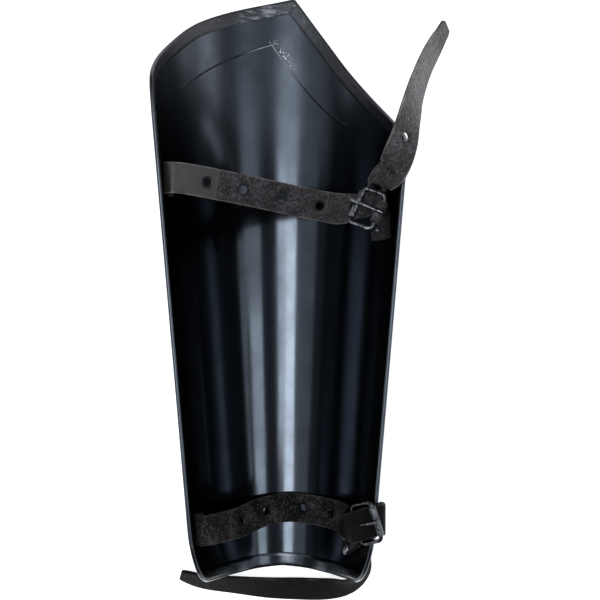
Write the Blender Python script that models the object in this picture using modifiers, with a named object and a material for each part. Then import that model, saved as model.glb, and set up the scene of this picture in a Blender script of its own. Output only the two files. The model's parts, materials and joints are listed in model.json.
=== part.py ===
# A steel greave for one lower leg, lying on its shin side with the hollow up.
# Y runs from the ankle to the knee, X across the leg towards the buckles, Z up out of the hollow.
# Lengths are in metres.
import math

import bmesh
import bpy
from mathutils import Matrix, Vector

# Plate
PLATE_LENGTH = 0.411
ANKLE_HALF_WIDTH = 0.062
KNEE_HALF_WIDTH = 0.0955
ANKLE_DEPTH = 0.078
KNEE_DEPTH = 0.104
SHEET = 0.0012
HEM_WIDTH = 0.008
HEM_GAP = 0.0005
ANKLE_TUCK = 0.005
ANKLE_TUCK_LENGTH = 0.035

# Straps
STRAP_WIDTH = 0.0215
STRAP_THICKNESS = 0.0025
HOLE_DIAMETER = 0.006
HOLE_PITCH = 0.0275
UPPER_FIRST_HOLE = 0.0495
UPPER_HOLES = 8
LOWER_FIRST_HOLE = 0.0665
LOWER_HOLES = 6
EDGE_TURN = 0.0055
UPPER_TIP_LENGTH = 0.030
LOWER_TIP_LENGTH = 0.022
TIP_WIDTH_SHARE = 0.55

# Chapes
CHAPE_WIDTH = 0.016
CHAPE_THICKNESS = 0.0020
CHAPE_SLOT_WIDTH = 0.0036
CHAPE_SLOT_REACH = 0.0048
CHAPE_FOLD = 0.0070

# Buckles
BUCKLE_LENGTH = 0.0300
BUCKLE_WIDTH = 0.0195
BUCKLE_WIRE = 0.0028
BUCKLE_CORNER = 0.0035
ROLLER_DIAMETER = 0.0050
ROLLER_LENGTH = 0.0205
TONGUE_WIRE = 0.0024
UPPER_BUCKLE_GIRTH = 0.900
UPPER_BUCKLE_ALONG = 0.617
UPPER_BUCKLE_STANDOFF = 0.0222
LOWER_BUCKLE_ALONG = 0.1015
LOWER_BUCKLE_LIFT = 0.0074

# Rivets
RIVET_SHANK = 0.0040
RIVET_HEAD = 0.0085
RIVET_HEAD_HEIGHT = 0.0018
UPPER_STRAP_RIVET = (-0.848, 0.669)
LOWER_STRAP_RIVET = (-0.790, 0.078)
UPPER_CHAPE_RIVET = (0.705, 0.589)
LOWER_CHAPE_RIVET = (0.605, 0.049)
LOWER_CHAPE_RIVET_SPACING = 0.0115

# Clearances
SEAT_GAP = 0.0003
WALL_GAP = 0.0014
LAYER_GAP = 0.0003

# Mesh steps
GIRTH_CELLS_LEFT = 22
GIRTH_CELLS_RIGHT = 20
LENGTH_CELLS = 12
CROWDING = 1.35
SHIN_FLAT = 0.024
FOLD_STEPS = 3
STRAP_STEP = 0.0045
CHAPE_STEP = 0.0040
STRAP_CELLS = 1
ROUND_SIDES = 12

# Rim of the knee end: share of the half girth from the shin line, share of the plate's length
APEX_GIRTH = 0.055
KNEE_RIM = (
    (-1.000, 0.785),
    (-0.985, 0.815),
    (-0.950, 0.838),
    (-0.880, 0.858),
    (-0.667, 0.904),
    (-0.444, 0.950),
    (-0.211, 0.979),
    (APEX_GIRTH, 1.000),
    (0.193, 0.935),
    (0.361, 0.864),
    (0.540, 0.809),
    (0.711, 0.771),
    (0.930, 0.733),
    (0.985, 0.718),
    (1.000, 0.692),
)

# Rim of the ankle end, the same columns on either side
ANKLE_RIM = (
    (0.00, 0.000),
    (0.20, -0.004),
    (0.38, -0.009),
    (0.60, -0.012),
    (0.80, -0.010),
    (0.90, -0.003),
    (0.97, 0.014),
    (1.00, 0.048),
)

# Start of the upper strap on the left wall: girth share, along share
UPPER_STRAP_WALL = ((-0.800, 0.668), (-0.865, 0.670), (-0.905, 0.672))

# Its span to the buckle: side as a share of the half width, along, up as a share of the depth, lean in degrees
UPPER_STRAP_SPAN = (
    (-0.885, 0.672, 0.905, 0),
    (-0.790, 0.671, 0.855, 0),
    (-0.500, 0.662, 0.700, 0),
    (-0.240, 0.652, 0.635, 0),
    (0.000, 0.642, 0.620, 0),
    (0.320, 0.628, 0.655, 0),
    (0.500, 0.622, 0.735, 0),
)

# Its way under the buckle's frame: shares of the buckle's length and width from the frame's middle,
# height over the frame's plane, share of the strap's width that it is gathered to, rise in degrees
UPPER_UNDER_BUCKLE = (
    (0.000, 0.428, -0.00405, 0.85, 0),
    (0.080, 0.110, -0.00560, 0.62, 0),
    (0.280, 0.040, -0.00600, 0.58, 0),
    (0.480, 0.060, -0.00660, 0.56, 12),
    (0.610, 0.075, -0.00400, 0.60, 55),
    (0.675, 0.025, 0.00200, 0.72, 80),
)

# Its tail beyond the buckle, down to the floor: side as a share of the knee's half width, along,
# clearance under its lower edge as a share of the depth, lean of its broad side in degrees
UPPER_TAIL = (
    (0.758, 0.675, 0.815, -24),
    (0.792, 0.684, 0.920, -20),
    (0.863, 0.730, 0.986, 25),
    (0.913, 0.773, 0.897, 44),
    (0.980, 0.825, 0.637, 54),
    (1.076, 0.879, 0.307, 58),
    (1.170, 0.920, 0.055, 60),
    (1.244, 0.953, 0.000, 60),
)

# Start of the lower strap on the left wall
LOWER_STRAP_WALL = ((-0.740, 0.078), (-0.820, 0.078), (-0.860, 0.079))

# Its span over the floor of the hollow and up the right wall
LOWER_STRAP_SPAN = (
    (-0.855, 0.079, 0.850, 0),
    (-0.760, 0.079, 0.770, 0),
    (-0.480, 0.083, 0.430, 0),
    (-0.230, 0.094, 0.150, 0),
    (0.060, 0.101, 0.062, 0),
    (0.320, 0.098, 0.105, 0),
    (0.600, 0.093, 0.330, 0),
    (0.680, 0.091, 0.620, 0),
)

# Its tail down the outside and round the ankle end: side as a share of the ankle's half width, along,
# clearance under its lower edge as a share of the depth, lean of its broad side and the way it leans
LOWER_TAIL = (
    (1.113, 0.1010, 0.7045, 90, 0),
    (1.068, 0.0900, 0.5370, 95, -5),
    (0.990, 0.0584, 0.3450, 98, -12),
    (0.960, 0.0195, 0.2060, 85, -22),
    (0.911, -0.0146, 0.1130, 65, -42),
    (0.750, -0.0353, 0.0440, 48, -64),
    (0.500, -0.0426, 0.0060, 39, -80),
    (0.161, -0.0421, 0.0000, 38, -88),
    (-0.161, -0.0405, 0.0000, 42, -92),
    (-0.484, -0.0360, 0.0000, 49, -95),
    (-0.919, -0.0290, 0.0000, 56, -97),
    (-1.194, -0.0170, 0.0000, 58, -100),
)

# Chapes: girth share and along share of the rivet end and of the run to the buckle
UPPER_CHAPE_RUN = ((0.640, 0.588), (0.740, 0.590), (0.810, 0.594))
LOWER_CHAPE_RUN = ((0.560, 0.044), (0.660, 0.056), (0.720, 0.064))


def between(low, high, share):
    return low + (high - low) * share


def smooth_value(rows, x):
    """Monotone cubic through the rows of a two-column table."""
    steps = [(b[1] - a[1]) / (b[0] - a[0]) for a, b in zip(rows, rows[1:])]
    slopes = [steps[0]]
    for before, after in zip(steps, steps[1:]):
        slopes.append(0.0 if before * after <= 0 else 2 * before * after / (before + after))
    slopes.append(steps[-1])
    for i, (a, b) in enumerate(zip(rows, rows[1:])):
        if x <= b[0] or i == len(rows) - 2:
            span = b[0] - a[0]
            t = min(max((x - a[0]) / span, 0.0), 1.0)
            start = a[1] * (1 + 2 * t) * (1 - t) ** 2 + slopes[i] * span * t * (1 - t) ** 2
            return start + b[1] * t * t * (3 - 2 * t) - slopes[i + 1] * span * t * t * (1 - t)


def half_width(y):
    return between(ANKLE_HALF_WIDTH, KNEE_HALF_WIDTH, y / PLATE_LENGTH) - SHEET / 2


def depth(y):
    return between(ANKLE_DEPTH, KNEE_DEPTH, y / PLATE_LENGTH) - SHEET / 2


def wall_point(girth, y):
    """A point on the middle of the sheet, by its share of the half girth and its height up the leg."""
    angle = girth * math.pi / 2
    tuck = ANKLE_TUCK * max(0.0, 1 - y / ANKLE_TUCK_LENGTH) ** 2
    side = half_width(y) * math.sin(angle) - tuck * math.sin(angle) ** 3
    return Vector((side, y, SHEET / 2 + depth(y) * (1 - math.cos(angle))))


def wall_normal(girth, y):
    """The direction from the sheet into the hollow."""
    d = 0.001
    across = wall_point(girth + d, y) - wall_point(girth - d, y)
    up = wall_point(girth, y + d) - wall_point(girth, y - d)
    return across.cross(up).normalized()


def wall_share(point):
    """The girth share of the place on the sheet nearest to a point beside it."""
    y = point.y
    side = point.x / half_width(y)
    rise = 1 - (point.z - SHEET / 2) / depth(y)
    return math.atan2(side, rise) / (math.pi / 2)


def off_wall(girth, y, distance):
    return wall_point(girth, y) + wall_normal(girth, y) * distance


def knee_rim(girth):
    left = [row for row in KNEE_RIM if row[0] <= APEX_GIRTH]
    right = [row for row in KNEE_RIM if row[0] >= APEX_GIRTH]
    return smooth_value(left if girth <= APEX_GIRTH else right, girth) * PLATE_LENGTH


def ankle_rim(girth):
    return smooth_value(ANKLE_RIM, abs(girth)) * PLATE_LENGTH


def girth_columns():
    """Girth shares of the grid's columns, closer together towards the two long edges."""
    left = [-1 + (APEX_GIRTH + 1) * (i / GIRTH_CELLS_LEFT) ** CROWDING for i in range(GIRTH_CELLS_LEFT - 1)]
    right = [1 - (1 - APEX_GIRTH) * (i / GIRTH_CELLS_RIGHT) ** CROWDING for i in range(GIRTH_CELLS_RIGHT + 1)]
    return left + [-SHIN_FLAT, SHIN_FLAT] + right[::-1]


def material(name, colour, roughness, metallic):
    made = bpy.data.materials.new(name)
    made.use_nodes = True
    shader = made.node_tree.nodes["Principled BSDF"]
    shader.inputs["Base Color"].default_value = (*colour, 1.0)
    shader.inputs["Roughness"].default_value = roughness
    shader.inputs["Metallic"].default_value = metallic
    return made


def steel(name):
    return material(name + "_steel", (0.045, 0.05, 0.058), 0.22, 1.0)


def wire_steel(name):
    return material(name + "_wire", (0.03, 0.03, 0.034), 0.35, 1.0)


def leather(name):
    return material(name + "_leather", (0.03, 0.028, 0.03), 0.7, 0.0)


def add_object(name, mesh, finish, place=None):
    made = bpy.data.objects.new(name, mesh)
    mesh.materials.append(finish)
    parts.objects.link(made)
    made.parent = origin
    if place is not None:
        made.matrix_local = place
    return made


def add_cutter(name, cylinders, boxes=()):
    """One wire-drawn object with a cylinder for each (start, end, radius) and a box for each (place, size)."""
    bm = bmesh.new()
    for start, end, radius in cylinders:
        axis = end - start
        turn = axis.to_track_quat("Z", "Y").to_matrix().to_4x4()
        bmesh.ops.create_cone(
            bm,
            cap_ends=True,
            segments=ROUND_SIDES,
            radius1=radius,
            radius2=radius,
            depth=axis.length,
            matrix=Matrix.Translation((start + end) / 2) @ turn,
        )
    for place, size in boxes:
        bmesh.ops.create_cube(bm, size=1.0, matrix=place @ Matrix.Diagonal((*size, 1.0)))
    mesh = bpy.data.meshes.new(name)
    bm.to_mesh(mesh)
    bm.free()
    made = bpy.data.objects.new(name, mesh)
    made.hide_render = True
    made.display_type = "WIRE"
    cutters.objects.link(made)
    made.parent = origin
    return made


def cut(target, cutter):
    made = target.modifiers.new("Holes", "BOOLEAN")
    made.operation = "DIFFERENCE"
    made.solver = "EXACT"
    made.object = cutter


def thicken(target, thickness):
    made = target.modifiers.new("Thickness", "SOLIDIFY")
    made.thickness = thickness
    made.offset = 0.0
    made.use_even_offset = True


def grid_mesh(name, rows):
    """A surface of quads over rows of points."""
    bm = bmesh.new()
    made = [[bm.verts.new(point) for point in row] for row in rows]
    count = len(rows[0])
    for low, high in zip(made, made[1:]):
        for i in range(count - 1):
            bm.faces.new((low[i], low[i + 1], high[i + 1], high[i]))
    mesh = bpy.data.meshes.new(name)
    bm.to_mesh(mesh)
    bm.free()
    return mesh


def shin_plate(rivets):
    """The sheet with its hem folded over to the inside along its whole edge."""
    columns = girth_columns()
    grid = []
    for row in range(LENGTH_CELLS + 1):
        share = row / LENGTH_CELLS
        grid.append([wall_point(g, between(ankle_rim(g), knee_rim(g), share)) for g in columns])

    bm = bmesh.new()
    verts = [[bm.verts.new(point) for point in row] for row in grid]
    for low, high in zip(verts, verts[1:]):
        for i in range(len(columns) - 1):
            bm.faces.new((low[i], low[i + 1], high[i + 1], high[i]))

    edge = verts[0][:-1] + [row[-1] for row in verts[:-1]] + verts[-1][:0:-1]
    edge += [row[0] for row in verts[:0:-1]]
    count = len(edge)
    fold = (SHEET + HEM_GAP) / 2
    previous = edge
    for step in range(FOLD_STEPS + 2):
        ring = []
        for i, vert in enumerate(edge):
            point = vert.co
            normal = wall_normal(wall_share(point), point.y)
            before = (point - edge[i - 1].co).cross(normal).normalized()
            after = (edge[(i + 1) % count].co - point).cross(normal).normalized()
            outward = (before + after).normalized()
            outward /= max(outward.dot(after), 0.6)
            if step < FOLD_STEPS:
                turn = math.pi * (step + 1) / FOLD_STEPS
                place = point + outward * fold * math.sin(turn) + normal * fold * (1 - math.cos(turn))
            else:
                inset = HEM_WIDTH * (step + 1 - FOLD_STEPS) / 2
                seat = point - outward * inset
                place = off_wall(wall_share(seat), seat.y, 2 * fold)
            ring.append(bm.verts.new(place))
        for i in range(count):
            j = (i + 1) % count
            bm.faces.new((previous[j], previous[i], ring[i], ring[j]))
        previous = ring

    mesh = bpy.data.meshes.new("shin_plate")
    bm.to_mesh(mesh)
    bm.free()
    plate = add_object("shin_plate", mesh, steel("shin_plate"))
    thicken(plate, SHEET)
    cut(plate, add_cutter("cut_shin_plate", rivets))
    return plate


def smooth_path(stations, step):
    """Stations of (centre, normal, gather), evenly spaced along a smooth curve through the ones given."""
    lengths = [0.0]
    for a, b in zip(stations, stations[1:]):
        lengths.append(lengths[-1] + (b[0] - a[0]).length)

    def slope(i, column):
        low, high = max(i - 1, 0), min(i + 1, len(stations) - 1)
        return (stations[high][column] - stations[low][column]) / (lengths[high] - lengths[low])

    def place(distance, column):
        i = max(k for k in range(len(lengths) - 1) if lengths[k] <= distance)
        span = lengths[i + 1] - lengths[i]
        t = (distance - lengths[i]) / span
        start = stations[i][column] * (1 + 2 * t) * (1 - t) ** 2 + slope(i, column) * span * t * (1 - t) ** 2
        end = stations[i + 1][column] * t * t * (3 - 2 * t) - slope(i + 1, column) * span * t * t * (1 - t)
        return start + end

    count = max(2, round(lengths[-1] / step))
    marks = [lengths[-1] * i / count for i in range(count + 1)]
    return with_tangents([(place(mark, 0), place(mark, 1), place(mark, 2)) for mark in marks])


def with_tangents(stations):
    """A path of (centre, tangent, normal, gather) with every normal square to its tangent."""
    path = []
    last = len(stations) - 1
    for i, (centre, normal, gather) in enumerate(stations):
        tangent = (stations[min(i + 1, last)][0] - stations[max(i - 1, 0)][0]).normalized()
        normal = (normal - tangent * normal.dot(tangent)).normalized()
        path.append((centre, tangent, normal, gather))
    return path


def path_length(path):
    return sum((b[0] - a[0]).length for a, b in zip(path, path[1:]))


def path_at(path, distance):
    """Centre, tangent and normal at a distance along a path."""
    for a, b in zip(path, path[1:]):
        span = (b[0] - a[0]).length
        if distance <= span:
            t = distance / span
            return tuple(a[k].lerp(b[k], t) for k in range(3))
        distance -= span
    return path[-1][:3]


def ribbon(name, path, width, thickness, finish, tip_length=0.0):
    """A band of leather along a path, square at its start and drawn in to a blunt tip at its end."""
    total = path_length(path)
    walked = 0.0
    rows = []
    for i, (centre, tangent, normal, gather) in enumerate(path):
        if i:
            walked += (centre - path[i - 1][0]).length
        share = gather
        if tip_length:
            reach = max(0.0, (walked - total + tip_length) / tip_length)
            share *= between(TIP_WIDTH_SHARE, 1.0, math.sqrt(max(0.0, 1 - min(reach, 1.0) ** 2)))
        across = tangent.cross(normal) * width / 2 * share
        rows.append([centre + across * between(1, -1, k / STRAP_CELLS) for k in range(STRAP_CELLS + 1)])
    made = add_object(name, grid_mesh(name, rows), finish)
    thicken(made, thickness)
    return made


def strap_lift(lean):
    """Height of a strap's middle when its lower edge is on the floor."""
    angle = math.radians(lean)
    return STRAP_WIDTH / 2 * abs(math.sin(angle)) + STRAP_THICKNESS / 2 * abs(math.cos(angle)) + SEAT_GAP


def with_normals(rows):
    """Stations from (centre, lean, gather): broad side up, then leaned about the way the strap runs."""
    stations = []
    for i, (centre, lean, gather) in enumerate(rows):
        heading = (rows[min(i + 1, len(rows) - 1)][0] - rows[max(i - 1, 0)][0]).normalized()
        upright = Vector((0, 0, 1))
        upright = (upright - heading * upright.dot(heading)).normalized()
        side = heading.cross(upright)
        angle = math.radians(lean)
        stations.append((centre, upright * math.cos(angle) + side * math.sin(angle), gather))
    return stations


def wall_stations(rows, distance, sign):
    """Stations that follow the wall at a distance from the middle of the sheet."""
    stations = []
    for girth, along in rows:
        y = along * PLATE_LENGTH
        stations.append((off_wall(girth, y, distance), wall_normal(girth, y) * sign, 1.0))
    return stations


def span_points(rows):
    """Centres and leans of a strap between the walls."""
    made = []
    for side, along, up, lean in rows:
        y = along * PLATE_LENGTH
        made.append((Vector((side * half_width(y), y, SHEET / 2 + up * depth(y))), lean, 1.0))
    return made


def buckle_place(origin_point, bar, reach):
    """A buckle's frame: X along its bars, Y from the heel bar to the roller, Z to its front."""
    y = reach.normalized()
    x = (bar - y * bar.dot(y)).normalized()
    z = x.cross(y)
    turn = Matrix((x, y, z)).transposed().to_4x4()
    return Matrix.Translation(origin_point) @ turn


HEEL = (BUCKLE_WIDTH - BUCKLE_WIRE) / 2
HEEL_CLEARANCE = BUCKLE_WIRE / 2 + 5 * SEAT_GAP + TONGUE_WIRE + STRAP_THICKNESS / 2
STRAP_BELOW_ROLLER = ROLLER_DIAMETER / 2 + SEAT_GAP + STRAP_THICKNESS / 2


def upper_buckle_place():
    y = UPPER_BUCKLE_ALONG * PLATE_LENGTH
    centre = off_wall(UPPER_BUCKLE_GIRTH, y, UPPER_BUCKLE_STANDOFF)
    return buckle_place(centre, Vector((0.43, 0.88, -0.30)), Vector((-0.87, 0.34, -0.25)))


def lower_buckle_place():
    y = LOWER_BUCKLE_ALONG * PLATE_LENGTH
    edge_top = SHEET + depth(y) + (SHEET + HEM_GAP) / 2
    roller = Vector((half_width(y), y, edge_top + LOWER_BUCKLE_LIFT))
    reach = Vector((0.78, 0.24, 0.58)).normalized()
    return buckle_place(roller - reach * HEEL, Vector((0.30, -0.954, 0.0)), reach)


def rounded_rectangle(length, width, corner, steps):
    points = []
    for turn, (side, end) in enumerate(((1, 1), (-1, 1), (-1, -1), (1, -1))):
        for k in range(steps + 1):
            angle = math.pi / 2 * (turn + k / steps)
            x = side * (length / 2 - corner) + corner * math.cos(angle)
            y = end * (width / 2 - corner) + corner * math.sin(angle)
            points.append(Vector((x, y, 0)))
    return points


def wire(name, points, diameter, finish, place, closed):
    curve = bpy.data.curves.new(name, "CURVE")
    curve.dimensions = "3D"
    curve.bevel_depth = diameter / 2
    curve.bevel_resolution = 2
    curve.use_fill_caps = True
    spline = curve.splines.new("POLY")
    spline.points.add(len(points) - 1)
    for target, point in zip(spline.points, points):
        target.co = (*point, 1.0)
    spline.use_cyclic_u = closed
    return add_object(name, curve, finish, place)


def turned(name, profile, closed, finish, place):
    """A profile of (radius, height) turned about Z."""
    bm = bmesh.new()
    verts = [bm.verts.new((radius, 0, height)) for radius, height in profile]
    pairs = list(zip(verts, verts[1:]))
    if closed:
        pairs.append((verts[-1], verts[0]))
    for a, b in pairs:
        bm.edges.new((a, b))
    mesh = bpy.data.meshes.new(name)
    bm.to_mesh(mesh)
    bm.free()
    made = add_object(name, mesh, finish, place)
    screw = made.modifiers.new("Turn", "SCREW")
    screw.steps = screw.render_steps = ROUND_SIDES
    screw.use_merge_vertices = True
    screw.merge_threshold = 0.00001
    return made


def buckle(name, place):
    """The frame and the roller of a buckle."""
    loop = rounded_rectangle(BUCKLE_LENGTH - BUCKLE_WIRE, BUCKLE_WIDTH - BUCKLE_WIRE, BUCKLE_CORNER, 4)
    wire(name + "_frame", loop, BUCKLE_WIRE, wire_steel(name + "_frame"), place, True)
    inner = BUCKLE_WIRE / 2 + SEAT_GAP
    outer = ROLLER_DIAMETER / 2
    half = ROLLER_LENGTH / 2
    profile = ((outer, half), (outer, -half), (inner, -half), (inner, half))
    across = Matrix.Translation((0, HEEL, 0)) @ Matrix.Rotation(math.pi / 2, 4, "Y")
    turned(name + "_roller", profile, True, wire_steel(name + "_roller"), place @ across)


def tongue_points():
    """The tongue in its buckle's frame: a hook round the heel bar, then a shaft over the roller."""
    hook = BUCKLE_WIRE / 2 + SEAT_GAP + TONGUE_WIRE / 2
    points = []
    for k in range(11):
        angle = math.radians(-15 - 255 * k / 10)
        points.append(Vector((0, -HEEL + hook * math.cos(angle), hook * math.sin(angle))))
    over = ROLLER_DIAMETER / 2 + SEAT_GAP + TONGUE_WIRE / 2
    points.append(Vector((0, HEEL, over)))
    points.append(Vector((0, HEEL + ROLLER_DIAMETER * 0.8, over * 1.05)))
    return points


def chape_path(place, run, sign):
    """A folded tab: along the run, round the heel bar and back over itself, and the way it comes to the bar."""
    layer = (CHAPE_THICKNESS + LAYER_GAP) / 2
    off = SHEET / 2 + WALL_GAP + CHAPE_THICKNESS + LAYER_GAP / 2
    middle = wall_stations(run, off, sign)
    heel = place @ Vector((0, -HEEL, 0))
    bar = place.to_3x3() @ Vector((1, 0, 0))
    back = middle[-1][0] - heel
    back = (back - bar * back.dot(bar)).normalized()
    front = back.cross(bar) if back.cross(bar).dot(middle[-1][1]) > 0 else bar.cross(back)
    middle.append((heel + back * CHAPE_FOLD, front, 1.0))
    path = smooth_path(middle, CHAPE_STEP)
    loop = []
    radius = BUCKLE_WIRE / 2 + SEAT_GAP + CHAPE_THICKNESS / 2
    for degrees in range(-105, 106, 30):
        angle = math.radians(degrees)
        out = front * math.sin(angle) - back * math.cos(angle)
        loop.append((heel + out * radius, out, 1.0))
    under = [(centre - normal * layer, -normal, 1.0) for centre, _, normal, _ in path]
    over = [(centre + normal * layer, normal, 1.0) for centre, _, normal, _ in reversed(path)]
    return with_tangents(under + loop + over), heel, bar, back


def chape(name, place, run, sign, rivets):
    """The tab, with a slot for the tongue in its fold and holes for its rivets."""
    path, heel, bar, back = chape_path(place, run, sign)
    made = ribbon(name, path, CHAPE_WIDTH, CHAPE_THICKNESS, leather(name))
    turn = Matrix((bar, back, bar.cross(back))).transposed().to_4x4()
    slot = Matrix.Translation(heel) @ turn
    size = (CHAPE_SLOT_WIDTH, 2 * CHAPE_SLOT_REACH, 4 * CHAPE_THICKNESS + BUCKLE_WIRE)
    cut(made, add_cutter("cut_" + name, [rivet_hole(*seat) for seat in rivets], [(slot, size)]))


def rivet_place(girth, y):
    normal = wall_normal(girth, y)
    turn = normal.to_track_quat("Z", "Y").to_matrix().to_4x4()
    return Matrix.Translation(wall_point(girth, y)) @ turn


def rivet(name, girth, y, stack):
    """A rivet with a domed head on either side of the sheet and the leather on it."""
    low = -SHEET / 2 - SEAT_GAP
    high = SHEET / 2 + WALL_GAP + stack + 2 * SEAT_GAP
    head = RIVET_HEAD / 2
    shank = RIVET_SHANK / 2
    tall = RIVET_HEAD_HEIGHT
    profile = (
        (0, high + tall),
        (head * 0.55, high + tall * 0.86),
        (head * 0.87, high + tall * 0.50),
        (head, high),
        (shank, high),
        (shank, low),
        (head, low),
        (head * 0.87, low - tall * 0.40),
        (head * 0.55, low - tall * 0.66),
        (0, low - tall * 0.75),
    )
    turned(name, profile, False, wire_steel(name), rivet_place(girth, y))


def rivet_hole(girth, y):
    normal = wall_normal(girth, y)
    point = wall_point(girth, y)
    reach = RIVET_HEAD
    return (point - normal * reach, point + normal * reach, RIVET_SHANK / 2 + 2 * SEAT_GAP)


def punched_holes(path, first, count):
    """Cutters square to a strap at an even pitch."""
    holes = []
    for i in range(count):
        centre, _, normal = path_at(path, first + i * HOLE_PITCH)
        reach = STRAP_THICKNESS * 1.5
        holes.append((centre - normal * reach, centre + normal * reach, HOLE_DIAMETER / 2))
    return holes


def upper_strap_path(place):
    off = SHEET / 2 + WALL_GAP + STRAP_THICKNESS / 2
    wall = wall_stations(UPPER_STRAP_WALL, off, -1)
    rows = span_points(UPPER_STRAP_SPAN)
    start = len(rows)
    for bar, reach, height, gather, _ in UPPER_UNDER_BUCKLE:
        rows.append((place @ Vector((bar * BUCKLE_LENGTH, reach * BUCKLE_WIDTH, height)), 0, gather))
    for side, along, up, lean in UPPER_TAIL:
        centre = Vector((side * KNEE_HALF_WIDTH, along * PLATE_LENGTH, up * KNEE_DEPTH + strap_lift(lean)))
        rows.append((centre, lean, 1.0))
    stations = with_normals(rows)
    for i, (*_, rise) in enumerate(UPPER_UNDER_BUCKLE, start):
        angle = math.radians(rise)
        normal = place.to_3x3() @ Vector((-math.sin(angle), 0, math.cos(angle)))
        stations[i] = (stations[i][0], normal, stations[i][2])
    return smooth_path(wall + stations, STRAP_STEP)


def lower_strap_path(place):
    off = SHEET / 2 + WALL_GAP + STRAP_THICKNESS / 2
    wall = wall_stations(LOWER_STRAP_WALL, off, -1)
    rows = span_points(LOWER_STRAP_SPAN)
    start = len(rows)
    round_heel = [Vector((0, math.cos(math.radians(a)), math.sin(math.radians(a)))) for a in (165, 125, 85)]
    for out in round_heel:
        rows.append((place @ (Vector((0, -HEEL, 0)) + out * HEEL_CLEARANCE), 0, 1.0))
    under = place @ Vector((0, HEEL, 0)) - Vector((0, 0, STRAP_BELOW_ROLLER))
    rows.append((under, 0, 1.0))
    stations = with_normals(rows)
    for i, out in enumerate(round_heel):
        stations[start + i] = (rows[start + i][0], place.to_3x3() @ out, 1.0)
    stations[-1] = (under, Vector((0, 0, 1)), 1.0)
    for degrees in (45, 90):
        angle = math.radians(degrees)
        out = Vector((math.sin(angle), 0, math.cos(angle)))
        stations.append((under + (out - Vector((0, 0, 1))) * EDGE_TURN, out, 1.0))
    for side, along, up, lean, compass in LOWER_TAIL:
        centre = Vector((side * ANKLE_HALF_WIDTH, along * PLATE_LENGTH, up * ANKLE_DEPTH + strap_lift(lean)))
        tilt, turn = math.radians(lean), math.radians(compass)
        normal = Vector((math.sin(tilt) * math.cos(turn), math.sin(tilt) * math.sin(turn), math.cos(tilt)))
        stations.append((centre, normal, 1.0))
    return smooth_path(wall + stations, STRAP_STEP)


def at(share_pair):
    """Girth share and height of a rivet given as shares."""
    return share_pair[0], share_pair[1] * PLATE_LENGTH


def chape_rivet_pair(seat, run):
    """Two seats side by side across a chape."""
    girth, y = at(seat)
    a, b = (wall_point(g, along * PLATE_LENGTH) for g, along in run[:2])
    across = (b - a).normalized().cross(wall_normal(girth, y))
    pair = []
    for sign in (1, -1):
        point = wall_point(girth, y) + across * sign * LOWER_CHAPE_RIVET_SPACING / 2
        pair.append((wall_share(point), point.y))
    return pair


def centre_on_origin():
    """Puts the origin in the middle of the object's footprint, on the floor."""
    bpy.context.view_layer.update()
    graph = bpy.context.evaluated_depsgraph_get()
    corners = []
    for made in parts.objects:
        solid = made.evaluated_get(graph)
        mesh = solid.to_mesh()
        corners += [made.matrix_world @ vert.co for vert in mesh.vertices]
        solid.to_mesh_clear()
    low = Vector(min(point[k] for point in corners) for k in range(3))
    high = Vector(max(point[k] for point in corners) for k in range(3))
    origin.location = (-(low.x + high.x) / 2, -(low.y + high.y) / 2, -low.z)


def build():
    upper_place = upper_buckle_place()
    lower_place = lower_buckle_place()
    strap_stack = STRAP_THICKNESS
    chape_stack = 2 * CHAPE_THICKNESS + LAYER_GAP
    pair = chape_rivet_pair(LOWER_CHAPE_RIVET, LOWER_CHAPE_RUN)
    seats = {
        "upper_strap_rivet": (*at(UPPER_STRAP_RIVET), strap_stack),
        "lower_strap_rivet": (*at(LOWER_STRAP_RIVET), strap_stack),
        "upper_chape_rivet": (*at(UPPER_CHAPE_RIVET), chape_stack),
        "lower_chape_rivet_1": (*pair[0], chape_stack),
        "lower_chape_rivet_2": (*pair[1], chape_stack),
    }
    shin_plate([rivet_hole(girth, y) for girth, y, _ in seats.values()])
    for name, (girth, y, stack) in seats.items():
        rivet(name, girth, y, stack)

    buckle("upper_buckle", upper_place)
    buckle("lower_buckle", lower_place)
    shaft = tongue_points()
    for name, place in (("upper_buckle_tongue", upper_place), ("lower_buckle_tongue", lower_place)):
        wire(name, shaft, TONGUE_WIRE, wire_steel(name), place, False)
    chape("upper_chape", upper_place, UPPER_CHAPE_RUN, -1, [at(UPPER_CHAPE_RIVET)])
    chape("lower_chape", lower_place, LOWER_CHAPE_RUN, 1, pair)

    path = upper_strap_path(upper_place)
    strap = ribbon("upper_strap", path, STRAP_WIDTH, STRAP_THICKNESS, leather("upper_strap"), UPPER_TIP_LENGTH)
    holes = punched_holes(path, UPPER_FIRST_HOLE, UPPER_HOLES) + [rivet_hole(*at(UPPER_STRAP_RIVET))]
    cut(strap, add_cutter("cut_upper_strap", holes))

    path = lower_strap_path(lower_place)
    strap = ribbon("lower_strap", path, STRAP_WIDTH, STRAP_THICKNESS, leather("lower_strap"), LOWER_TIP_LENGTH)
    holes = punched_holes(path, LOWER_FIRST_HOLE, LOWER_HOLES) + [rivet_hole(*at(LOWER_STRAP_RIVET))]
    pierced = [lower_place @ shaft[-3], lower_place @ shaft[-2], TONGUE_WIRE / 2 + SEAT_GAP]
    cut(strap, add_cutter("cut_lower_strap", holes))
    cut(strap, add_cutter("cut_for_tongue", [pierced]))
    centre_on_origin()


for leftover in list(bpy.data.objects):
    bpy.data.objects.remove(leftover, do_unlink=True)
parts = bpy.data.collections.new("Greave")
cutters = bpy.data.collections.new("Cutters")
bpy.context.scene.collection.children.link(parts)
bpy.context.scene.collection.children.link(cutters)
origin = bpy.data.objects.new("greave_origin", None)
bpy.context.scene.collection.objects.link(origin)
build()
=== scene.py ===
import json
import math

import bmesh
import bpy
from mathutils import Matrix, Vector, noise


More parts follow.
